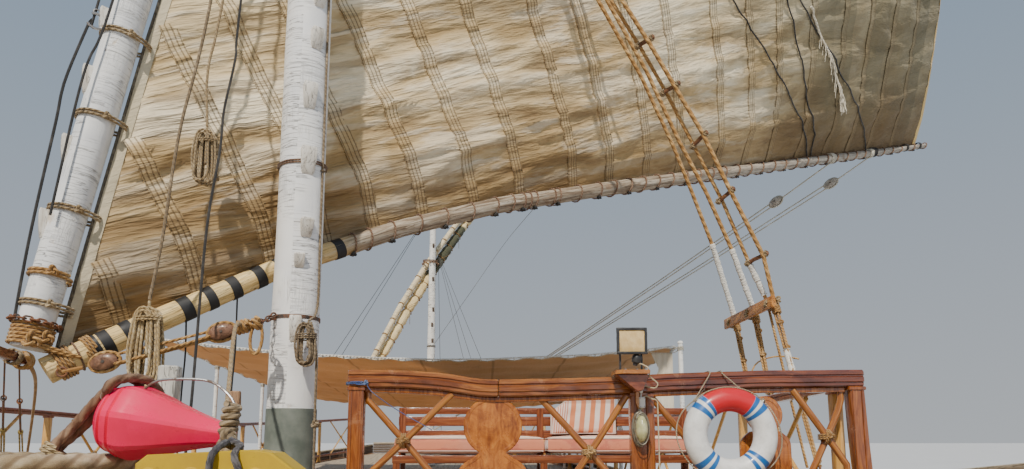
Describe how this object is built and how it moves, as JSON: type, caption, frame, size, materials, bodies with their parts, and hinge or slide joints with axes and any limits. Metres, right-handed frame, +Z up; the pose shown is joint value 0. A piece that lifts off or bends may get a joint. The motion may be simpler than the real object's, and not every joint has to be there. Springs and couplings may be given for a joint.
{
  "type": "two-masted lateen sailing boat",
  "caption": "River sailing boat with a main mast, long lateen yard and boomed canvas sail, furled mizzen, awning, railings and a hung rudder.",
  "frame": {"origin": "on the centreline amidships at the waterline", "axes": "+X to the bow, +Y to port, +Z up"},
  "size_m": [23.13, 12.3566, 21.8649],
  "materials": {
    "hull_paint": "weathered oiled planking",
    "rail_varnish": "varnished",
    "board_varnish": "varnished figured timber",
    "rudder_timber": "worn",
    "iron": "rusty",
    "mast_paint": "cracked white paint",
    "boom_timber": "worn paint over timber",
    "sail_cloth": "creased cotton canvas",
    "furled_cloth": "canvas",
    "bench_timber": "varnished",
    "cushion_cloth": "striped cotton",
    "awning_cloth": "tan canvas",
    "curtain_cloth": "cream canvas",
    "pole_paint": "white paint",
    "rope": "laid natural fibre",
    "bitts_paint": "chipped mustard paint",
    "float_plastic": "moulded",
    "ring_plastic": "painted",
    "lamp_metal": "black paint"
  },
  "bodies": {
    "hull_body": {"hull": "hull_paint", "bulwark_port": "hull_paint", "bulwark_starboard": "hull_paint", "taffrail": "hull_paint", "stem_head": "rail_varnish", "rudder_gudgeon_upper": "iron", "rudder_gudgeon_lower": "iron", "main_mast": "mast_paint", "mizzen_mast": "mast_paint", "front_rail": "rail_varnish", "rail_board_1": "board_varnish", "rail_board_2": "board_varnish", "side_rail_port": "rail_varnish", "side_rail_starboard": "rail_varnish", "bench": "bench_timber", "bench_seat_cushion_1": "cushion_cloth", "bench_seat_cushion_2": "cushion_cloth", "bench_back_cushion": "cushion_cloth", "awning": "awning_cloth", "awning_pole_port_1": "pole_paint", "awning_pole_port_2": "pole_paint", "awning_pole_port_3": "pole_paint", "awning_pole_port_4": "pole_paint", "awning_pole_starboard_1": "pole_paint", "awning_pole_starboard_2": "pole_paint", "awning_pole_starboard_3": "pole_paint", "awning_pole_starboard_4": "pole_paint", "side_curtain": "curtain_cloth", "shroud_port_1": "rope", "shroud_port_2": "rope", "shroud_port_3": "rope", "shroud_board_port": "board_varnish", "shroud_starboard_1": "rope", "shroud_starboard_2": "rope", "shroud_starboard_3": "rope", "shroud_board_starboard": "board_varnish", "bitts": "bitts_paint", "tack_beam": "rail_varnish", "float": "float_plastic", "lifebuoy": "ring_plastic", "lamp_shelf": "rail_varnish", "floodlight": "lamp_metal", "bulkhead_lamp": "lamp_metal", "line_hank_3": "rope", "mooring_rope_coil": "rope"},
    "rudder": {"rudder_blade": "rudder_timber", "tiller": "rail_varnish"},
    "main_rig": {"main_yard": "mast_paint", "main_boom": "boom_timber", "mainsail": "sail_cloth", "line_hank_1": "rope", "line_hank_2": "rope"},
    "mizzen_rig": {"mizzen_yard": "mast_paint", "mizzen_sail_furled": "furled_cloth"}
  },
  "joints": [
    {"name": "rudder_hinge", "type": "hinge", "parent": "hull_body", "child": "rudder", "pos_m": [-10.44, 0, 0.5], "axis": [0, 0, 1], "range_deg": [-35, 35]},
    {"name": "main_rig_swivel", "type": "hinge", "parent": "hull_body", "child": "main_rig", "pos_m": [4.6, 0, 6], "axis": [0, 0, 1], "range_deg": [0, 42]},
    {"name": "mizzen_rig_swivel", "type": "hinge", "parent": "hull_body", "child": "mizzen_rig", "pos_m": [-6.86, 0, 6], "axis": [0, 0, 1], "range_deg": [-25, 35]}
  ]
}
